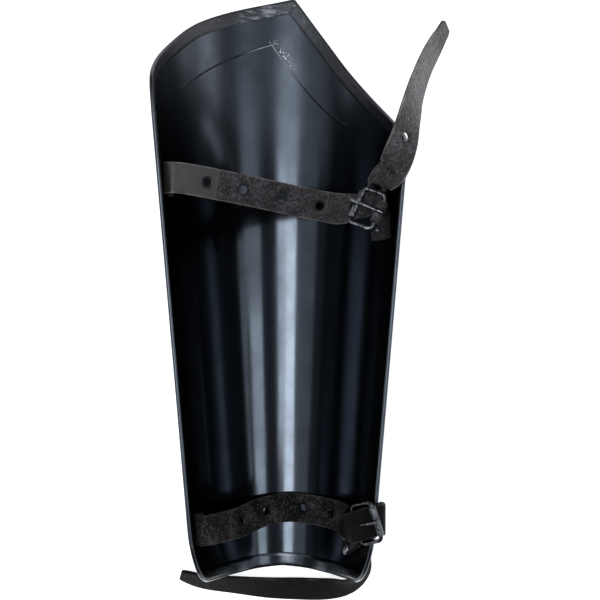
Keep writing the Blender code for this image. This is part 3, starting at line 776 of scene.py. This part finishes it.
def chapePath(place, run, sign):
    thickness = chapeSize["thickness"]
    layer = (thickness + chapeSize["layerGap"]) / 2
    off = plate["sheet"] / 2 + strap["wallGap"] + thickness + chapeSize["layerGap"] / 2
    middle = wallStations(run, off, sign)
    bar = place.to_3x3() @ Vector((1, 0, 0))
    heelPoint = place @ Vector((0, -heel, 0))
    back = middle[-1][0] - heelPoint
    back = (back - bar * back.dot(bar)).normalized()
    front = back.cross(bar) if back.cross(bar).dot(middle[-1][1]) > 0 else bar.cross(back)
    middle.append((heelPoint + back * chapeSize["fold"], front, 1.0))
    path = smoothPath(middle, chapeSize["step"])
    radius = buckle["wire"] / 2 + strap["seatGap"] + thickness / 2
    loop = []
    for degrees in range(-105, 106, 15):
        angle = math.radians(degrees)
        out = front * math.sin(angle) - back * math.cos(angle)
        loop.append((heelPoint + out * radius, out, 1.0))
    under = [(centre - normal * layer, -normal, 1.0) for centre, _, normal, _ in path]
    over = [(centre + normal * layer, normal, 1.0) for centre, _, normal, _ in reversed(path)]
    return withTangents(under + loop + over), heelPoint, bar, back


def punched(path, first, count):
    made = []
    for i in range(count):
        centre, _, normal = pathAt(path, first + i * strap["pitch"])
        reach = normal * strap["punchReach"]
        made.append(("round", centre - reach, centre + reach, strap["hole"] / 2))
    return made


leatherFinish = {
    "upper": {
        "dark": (0.0055, 0.0048, 0.0053, 1), "pale": (0.098, 0.086, 0.094, 1), "edge": (0.16, 0.145, 0.14, 1),
        "scale": 470.0, "relief": 0.0022, "shine": 0.45,
    },
    "lower": {
        "dark": (0.0045, 0.0042, 0.0045, 1), "pale": (0.088, 0.079, 0.083, 1), "edge": (0.055, 0.05, 0.05, 1),
        "scale": 700.0, "relief": 0.0012, "shine": 0.03,
    },
    # colours of the painted shade on the upper strap's fixed end; its fine grain is used on every strap
    "smooth": {
        "dark": (0.010, 0.0092, 0.0086, 1), "pale": (0.020, 0.0185, 0.017, 1),
        "scale": 1500.0, "relief": 0.00006, "roughness": 0.48, "blur": 0.008,
    },
    "holeRing": 0.0018,
    "edgeInside": (0.0011, 0.0004),
    "edgeOutside": 0.0006,
}


def leather(name, kind, first=None, count=0, smoothUntil=0.0, darkFrom=0.0):
    shade = Shade(name)
    where = shade.place()
    grain, smooth = leatherFinish[kind], leatherFinish["smooth"]
    uv = shade.add("SeparateXYZ", Vector=shade.add("UVMap", uv_map="strapUV").outputs["UV"])
    along, across = uv.outputs[0], uv.outputs[1]
    cells = shade.add("TexVoronoi", Vector=where, Scale=grain["scale"] * 1.6).outputs["Distance"]
    coarse = shade.noise(where, grain["scale"], 6.0, 0.68)
    blotch = shade.noise(where, 80.0, 4.0, 0.6)
    height = shade.plus(shade.times(cells, 0.35), coarse)
    tone = shade.plus(shade.times(height, 0.75), shade.times(blotch, 0.45))
    colour = shade.mix(shade.spread(tone, 0.68, 1.0), grain["dark"], grain["pale"])
    rough = shade.spread(height, 0.45, 0.95, 0.60, 0.34)
    if smoothUntil:
        # painted shade on the stretch at the fixed end, which is also made smoother and flatter
        share = shade.plus(along, shade.times(blotch, smooth["blur"]))
        share = shade.spread(share, smoothUntil + 0.006, smoothUntil + 0.001, smooth=True)
        paintedShade = shade.mix(shade.spread(blotch, 0.35, 0.65), smooth["dark"], smooth["pale"])
        colour = shade.mix(share, colour, paintedShade)
        rough = shade.blend(share, rough, smooth["roughness"])
        height = shade.times(height, shade.spread(share, 0, 1, 1.0, 0.10))
    # painted shade: the strap's tail darkens past this distance
    if darkFrom:
        colour = shade.mix(shade.spread(along, darkFrom, darkFrom + 0.02, 0.0, 0.93), colour, grain["dark"])
    if first:
        # pressed ring round each punched hole
        pitch, radius = strap["pitch"], strap["hole"] / 2
        step = shade.maths("MODULO", shade.plus(along, pitch * 5.5 - first), pitch)
        step = shade.maths("POWER", shade.minus(step, pitch / 2), 2.0)
        away = shade.maths("SQRT", shade.plus(step, shade.maths("POWER", across, 2.0)))
        ring = shade.spread(away, radius, radius + leatherFinish["holeRing"], smooth=True)
        ring = shade.larger(ring, shade.maths("GREATER_THAN", along, first + (count - 0.5) * pitch))
        ring = shade.larger(ring, shade.maths("LESS_THAN", along, first - pitch / 2))
        height = shade.times(height, shade.spread(ring, 0, 1, 0.4, 1.0))
        height = shade.plus(height, shade.times(ring, 0.5))
        colour = shade.mix(shade.spread(ring, 0, 1, 0.55, 0.0), colour, grain["dark"])
        # rubbed, paler cut edges; the back face has its own stretch of the map, so it stays out
        half, side = strap["width"] / 2, shade.size(across)
        edge = shade.spread(side, *(half - inside for inside in leatherFinish["edgeInside"]), smooth=True)
        edge = shade.times(edge, shade.maths("LESS_THAN", side, half + leatherFinish["edgeOutside"]))
        edge = shade.times(edge, shade.spread(blotch, 0.40, 0.60, 0.15, 0.75))
        colour = shade.mix(edge, colour, grain["edge"])
    relief = shade.relief(height, grain["relief"])
    relief = shade.relief(shade.noise(where, smooth["scale"]), smooth["relief"], 0.6, relief)
    shade.set(Base_Color=colour, Roughness=rough, Normal=relief)
    shade.skin.inputs["Specular IOR Level"].default_value = grain["shine"]
    return shade.material


# buckles and rivets
wireFinish = {
    "wornWire": {"bare": (0.26, 0.27, 0.285, 1), "dark": (0.055, 0.057, 0.062, 1)},
    # a darker copy of the same worn finish, painted shade for the lower buckle
    "darkWire": {"bare": (0.095, 0.10, 0.11, 1), "dark": (0.022, 0.023, 0.026, 1)},
}


def wire(name):
    shade = Shade(name)
    finish = wireFinish[name]
    where = shade.place()
    patch = shade.noise(where, 260.0, 4.0, 0.65)
    fine = shade.noise(where, 1400.0, 3.0)
    shade.set(
        Base_Color=shade.mix(shade.spread(patch, 0.42, 0.62), finish["dark"], finish["bare"]),
        Metallic=1.0,
        Roughness=shade.spread(patch, 0.35, 0.65, 0.22, 0.40),
        Normal=shade.relief(fine, 0.00003, 0.6),
    )
    return shade.material


# a node group with named inputs that ends in real geometry with its material
def startTree(name, inputs):
    tree = bpy.data.node_groups.new(name, "GeometryNodeTree")
    for label, kind in (("Geometry", "Geometry"), *inputs):
        tree.interface.new_socket(label, in_out="INPUT", socket_type="NodeSocket" + kind)
    tree.interface.new_socket("Finish", in_out="INPUT", socket_type="NodeSocketMaterial")
    tree.interface.new_socket("Geometry", in_out="OUTPUT", socket_type="NodeSocketGeometry")
    return tree, tree.nodes.new("NodeGroupInput")


def endTree(tree, start, geometry):
    real = tree.nodes.new("GeometryNodeRealizeInstances")
    paint = tree.nodes.new("GeometryNodeSetMaterial")
    tree.links.new(geometry, real.inputs["Geometry"])
    tree.links.new(real.outputs["Geometry"], paint.inputs["Geometry"])
    tree.links.new(start.outputs["Finish"], paint.inputs["Material"])
    tree.links.new(paint.outputs["Geometry"], tree.nodes.new("NodeGroupOutput").inputs["Geometry"])


def setInputs(nodes, tree, **values):
    nodes.node_group = tree
    ids = {item.name: item.identifier for item in tree.interface.items_tree if item.in_out == "INPUT"}
    for key, value in values.items():
        nodes[ids[key.replace("_", " ")]] = value


def wireTree():
    tree, start = startTree("bentWire", (("Wire radius", "Float"), ("Sides", "Int")))
    ring = tree.nodes.new("GeometryNodeCurvePrimitiveCircle")
    sweep = tree.nodes.new("GeometryNodeCurveToMesh")
    link = tree.links.new
    link(start.outputs["Geometry"], sweep.inputs["Curve"])
    link(start.outputs["Wire radius"], ring.inputs["Radius"])
    link(start.outputs["Sides"], ring.inputs["Resolution"])
    link(ring.outputs["Curve"], sweep.inputs["Profile Curve"])
    sweep.inputs["Fill Caps"].default_value = True
    endTree(tree, start, sweep.outputs["Mesh"])
    return tree


def bentWire(name, tree, points, radius, closed, material, radii=None):
    curve = bpy.data.curves.new(name, "CURVE")
    curve.dimensions = "3D"
    spline = curve.splines.new("POLY")
    spline.points.add(len(points) - 1)
    for i, (target, point) in enumerate(zip(spline.points, points)):
        target.co = (*point, 1.0)
        target.radius = radii[i] if radii else 1.0
    spline.use_cyclic_u = closed
    made = bpy.data.objects.new(name + "Line", curve)
    bpy.context.scene.collection.objects.link(made)
    setInputs(made.modifiers.new("Wire", "NODES"), tree, Wire_radius=radius, Sides=20, Finish=material)
    graph = bpy.context.evaluated_depsgraph_get()
    mesh = bpy.data.meshes.new_from_object(made.evaluated_get(graph))
    bpy.data.objects.remove(made)
    bm = bmesh.new()
    bm.from_mesh(mesh)
    bmesh.ops.recalc_face_normals(bm, faces=bm.faces)
    bm.to_mesh(mesh)
    bm.free()
    return newObject(name, mesh)


def roundedRectangle(length, width, corner, steps):
    points = []
    for turn, (side, end) in enumerate(((1, 1), (-1, 1), (-1, -1), (1, -1))):
        for k in range(steps + 1):
            angle = math.pi / 2 * (turn + k / steps)
            points.append(Vector((side * (length / 2 - corner) + corner * math.cos(angle),
                                  end * (width / 2 - corner) + corner * math.sin(angle), 0)))
    return points


def lathe(name, profile, place, closed, sides=40):
    bm = bmesh.new()
    rings = []
    for k in range(sides):
        angle = 2 * math.pi * k / sides
        turn = Vector((math.cos(angle), math.sin(angle), 0))
        rings.append([bm.verts.new(place @ (turn * r + Vector((0, 0, h)))) for r, h in profile])
    span = len(profile) if closed else len(profile) - 1
    for k in range(sides):
        a, b = rings[k], rings[(k + 1) % sides]
        for i in range(span):
            j = (i + 1) % len(profile)
            bm.faces.new((a[i], b[i], b[j], a[j]))
    bmesh.ops.remove_doubles(bm, verts=bm.verts, dist=1e-6)
    bmesh.ops.recalc_face_normals(bm, faces=bm.faces)
    mesh = bpy.data.meshes.new(name)
    bm.to_mesh(mesh)
    bm.free()
    return newObject(name, mesh)


def joined(name, pieces):
    bm = bmesh.new()
    for piece in pieces:
        bm.from_mesh(piece.data)
        bpy.data.objects.remove(piece)
    mesh = bpy.data.meshes.new(name)
    bm.to_mesh(mesh)
    bm.free()
    return newObject(name, mesh)


def makeBuckle(name, place, tree, material, nodeName):
    long, wide = buckle["length"] - buckle["wire"], buckle["width"] - buckle["wire"]
    loop = [place @ point for point in roundedRectangle(long, wide, buckle["corner"], 8)]
    frameWire = bentWire(name + "Frame", tree, loop, buckle["wire"] / 2, True, material)
    dress(frameWire, material, [nodeName + "_frame"])

    inner = buckle["wire"] / 2 + strap["seatGap"]
    outer, half, ease = buckle["roller"] / 2, buckle["rollerLength"] / 2, buckle["rollerEase"]
    profile = (
        (outer, half - ease), (outer, -half + ease), (outer - ease, -half),
        (inner, -half), (inner, half), (outer - ease, half),
    )
    turn = place @ Matrix.Translation((0, heel, 0)) @ Matrix.Rotation(math.pi / 2, 4, "Y")
    dress(lathe(name + "Roller", profile, turn, True), material, [nodeName + "_roller"])

    # the tongue: a hook round the heel bar, a straight to the roller, and the tip
    points = []
    for k in range(25):
        angle = math.radians(-15 - 255 * k / 24)
        points.append(Vector((0, -heel + hook * math.cos(angle), hook * math.sin(angle))))
    for k in range(1, 9):
        points.append(Vector((0, between(-heel, heel, k / 8), between(hook, overRoller, k / 8))))
    tip = ((0.45, 1.03, 0.95), (0.74, 1.05, 0.80), (0.80, 1.05, 0.55))
    radii = [1.0] * len(points) + [share for _, _, share in tip]
    points += [Vector((0, heel + buckle["roller"] * out, overRoller * up)) for out, up, _ in tip]
    line = [place @ point for point in points]
    tongue = bentWire(name + "Tongue", tree, line, buckle["tongue"] / 2, False, material, radii)
    dress(tongue, material, [nodeName + "_tongue"])


upperPlace = upperBucklePlace()
lowerPlace = lowerBucklePlace()
rivetSize = {"head": 0.0085, "height": 0.0018, "shank": 0.004, "holeReach": 0.0085, "spacing": 0.0115}
rivetRows = {
    "upperStrap": (-0.848, 0.669),
    "lowerStrap": (-0.790, 0.078),
    "upperChape": (0.705, 0.589),
    "lowerChape": (0.605, 0.049),
}


def rivetAt(name):
    girth, along = rivetRows[name]
    return girth, along * plate["length"]


def lowerChapePair():
    girth, y = rivetAt("lowerChape")
    a, b = (wallPoint(g, along * plate["length"]) for g, along in lowerChapeRun[:2])
    across = (b - a).normalized().cross(wallNormal(girth, y)) * rivetSize["spacing"] / 2
    return [(wallShare(p), p.y) for p in (wallPoint(girth, y) + across, wallPoint(girth, y) - across)]


chapeRivets = lowerChapePair()
chapeStack = 2 * chapeSize["thickness"] + chapeSize["layerGap"]
rivets = {
    "upper_strap_rivet": (*rivetAt("upperStrap"), strap["thickness"]),
    "lower_strap_rivet": (*rivetAt("lowerStrap"), strap["thickness"]),
    "upper_chape_rivet": (*rivetAt("upperChape"), chapeStack),
    "lower_chape_rivet_1": (*chapeRivets[0], chapeStack),
    "lower_chape_rivet_2": (*chapeRivets[1], chapeStack),
}

metal = wire("wornWire")
wireNodes = wireTree()
makeBuckle("upperBuckle", upperPlace, wireNodes, metal, "upper_buckle")
# the lower buckle's darker metal is painted shade
makeBuckle("lowerBuckle", lowerPlace, wireNodes, wire("darkWire"), "lower_buckle")


def partsTree():
    tree, start = startTree("placedParts", (("Part", "Object"),))
    part = tree.nodes.new("GeometryNodeObjectInfo")
    turn = tree.nodes.new("FunctionNodeAlignRotationToVector")
    scatter = tree.nodes.new("GeometryNodeInstanceOnPoints")
    link = tree.links.new
    for name, socket in (("facing", turn.inputs["Vector"]), ("stretch", scatter.inputs["Scale"])):
        value = tree.nodes.new("GeometryNodeInputNamedAttribute")
        value.data_type = "FLOAT_VECTOR"
        value.inputs["Name"].default_value = name
        link(value.outputs["Attribute"], socket)
    link(start.outputs["Part"], part.inputs["Object"])
    link(start.outputs["Geometry"], scatter.inputs["Points"])
    link(part.outputs["Geometry"], scatter.inputs["Instance"])
    link(turn.outputs["Rotation"], scatter.inputs["Rotation"])
    endTree(tree, start, scatter.outputs["Instances"])
    return tree


def placed(name, tree, part, rows, material):
    mesh = bpy.data.meshes.new(name)
    mesh.from_pydata([point for point, _, _ in rows], [], [])
    for key, column in (("facing", 1), ("stretch", 2)):
        values = mesh.attributes.new(key, "FLOAT_VECTOR", "POINT")
        for i, row in enumerate(rows):
            values.data[i].vector = row[column]
    made = newObject(name, mesh)
    setInputs(made.modifiers.new("Place", "NODES"), tree, Part=part, Finish=material)
    return applied(made)


def makeRivets():
    head, tall, shank = rivetSize["head"] / 2, rivetSize["height"], rivetSize["shank"] / 2
    angles = [math.radians(degrees) for degrees in (4, 18, 32, 46, 60, 75)]
    dome = [(head * math.cos(angle), tall * math.sin(angle)) for angle in angles]
    domeHead = lathe("rivetHead", [(0, 0), (head, 0), *dome, (0, tall)], Matrix(), False, 32)
    rod = lathe("rivetShank", [(0, 0), (shank, 0), (shank, 1), (0, 1)], Matrix(), False, 24)
    heads, rods = [], []
    for girth, y, stack in rivets.values():
        normal, point = wallNormal(girth, y), wallPoint(girth, y)
        low = -plate["sheet"] / 2 - strap["seatGap"]
        high = plate["sheet"] / 2 + strap["wallGap"] + stack + 2 * strap["seatGap"]
        heads.append((point + normal * high, normal, (1, 1, 1)))
        heads.append((point + normal * low, -normal, (1, 1, 0.75)))
        rods.append((point + normal * low, normal, (1, 1, high - low)))
    tree = partsTree()
    pieces = [placed("rivetHeads", tree, domeHead, heads, metal)]
    pieces.append(placed("rivetShanks", tree, rod, rods, metal))
    for part in (domeHead, rod):
        bpy.data.objects.remove(part)
    dress(joined("rivets", pieces), metal, list(rivets), 50)


makeRivets()


def rivetHole(girth, y):
    point, reach = wallPoint(girth, y), wallNormal(girth, y) * rivetSize["holeReach"]
    return ("round", point - reach, point + reach, rivetSize["shank"] / 2 + 2 * strap["seatGap"])


makePlate([rivetHole(*seat[:2]) for seat in rivets.values()])


def makeStrap(name, path, cutters, **finish):
    first, count = strap[name + "First"], strap[name + "Holes"]
    print(name, "strap", round(walked(path)[-1], 4), "m long")
    cutters = punched(path, first, count) + [rivetHole(*rivets[name + "_strap_rivet"][:2])] + cutters
    made = ribbon(name + "Strap", path, strap["width"], strap["thickness"], strap[name + "Tip"], cutters)
    skin = leather(name + "StrapLeather", name, first, count, **finish)
    dress(made, skin, [name + "_strap"], 50)


def makeChape(name, place, run, sign, seats):
    path, heelPoint, bar, back = chapePath(place, run, sign)
    turn = Matrix((bar, back, bar.cross(back))).transposed().to_4x4()
    slot = ("box", Matrix.Translation(heelPoint) @ turn, (*chapeSize["slot"], chapeSize["slotReach"]))
    cutters = [slot] + [rivetHole(*seat) for seat in seats]
    made = ribbon(name + "Chape", path, chapeSize["width"], chapeSize["thickness"], cutters=cutters)
    dress(made, leather(name + "ChapeLeather", name), [name + "_chape"], 50)


# the lower tongue goes through its strap, the upper strap runs under its buckle
pierced = (
    "round", lowerPlace @ Vector((0, -heel, hook)), lowerPlace @ Vector((0, heel, overRoller)),
    buckle["tongue"] / 2 + strap["seatGap"],
)
# painted shade on the fixed end of the upper strap
makeStrap("upper", upperStrapPath(upperPlace), [], smoothUntil=0.058)
# painted shade on the tail of the lower strap
makeStrap("lower", lowerStrapPath(lowerPlace), [pierced], darkFrom=0.165)
makeChape("upper", upperPlace, upperChapeRun, -1, [rivets["upper_chape_rivet"][:2]])
makeChape("lower", lowerPlace, lowerChapeRun, 1, chapeRivets)


# floor and light
studio = {
    "floor": (0.90, 0.90, 0.90, 1),
    "floorFleck": (0.8, 0.81, 0.82, 1),
    "floorGlow": 0.62,
    "sky": (0.80, 0.88, 1.0, 1),
    "skyStrength": 0.20,
    "panels": (
        # name, place, size, radiance, colour
        ("core", (-0.278, -0.16, 1.55), (0.364, 0.62), 12.0, (0.93, 0.97, 1.0)),
        ("coreEdge", (0.004, -0.02, 1.55), (0.20, 0.46), 7.0, (0.93, 0.97, 1.0)),
        ("coreFar", (-0.20, 0.34, 1.55), (0.50, 0.38), 3.4, (0.90, 0.96, 1.0)),
        ("coreSide", (-0.78, -0.12, 1.48), (0.62, 0.85), 0.95, (0.90, 0.96, 1.0)),
        ("side", (0.88, -0.28, 1.42), (0.38, 0.55), 5.0, (0.90, 0.96, 1.0)),
        ("sideFar", (0.95, 0.20, 1.42), (0.50, 0.45), 1.8, (0.90, 0.96, 1.0)),
        ("sideOuter", (1.55, -0.15, 1.25), (0.60, 0.90), 1.2, (0.90, 0.96, 1.0)),
        ("knee", (-0.05, 0.75, 1.50), (3.20, 0.80), 0.9, (0.92, 0.96, 1.0)),
        ("lowLeft", (-2.30, 0.0, 0.65), (0.90, 3.60), 2.5, (1.0, 1.0, 1.0)),
        ("lowRight", (2.30, 0.0, 0.65), (0.90, 3.60), 2.5, (1.0, 1.0, 1.0)),
    ),
}


def makeStudio():
    bm = bmesh.new()
    bmesh.ops.create_circle(bm, cap_ends=True, segments=96, radius=7.0)
    mesh = bpy.data.meshes.new("floor")
    bm.to_mesh(mesh)
    bm.free()
    floor = newObject("floor", mesh)
    shade = Shade("floorPaint")
    fleck = shade.spread(shade.noise(shade.place(), 3.0), 0, 1, 0.0, 0.03)
    shade.set(Base_Color=shade.mix(fleck, studio["floor"], studio["floorFleck"]), Roughness=0.9)
    shade.skin.inputs["Emission Color"].default_value = (1, 1, 1, 1)
    shade.skin.inputs["Emission Strength"].default_value = studio["floorGlow"]
    mesh.materials.append(shade.material)
    world = bpy.data.worlds.new("sky")
    world.use_nodes = True
    world.node_tree.nodes["Background"].inputs[0].default_value = studio["sky"]
    world.node_tree.nodes["Background"].inputs[1].default_value = studio["skyStrength"]
    bpy.context.scene.world = world
    bpy.context.scene.view_settings.view_transform = "Standard"
    for name, place, size, radiance, colour in studio["panels"]:
        light = bpy.data.lights.new(name, "AREA")
        light.shape = "RECTANGLE"
        light.size, light.size_y = size
        light.energy = radiance * math.pi * size[0] * size[1]
        light.color = colour
        made = bpy.data.objects.new(name, light)
        bpy.context.scene.collection.objects.link(made)
        made.location = place
        made.rotation_euler = math.atan2(place[0], place[2]) * Vector((0, 1, 0))


makeStudio()
print("floor and light set")
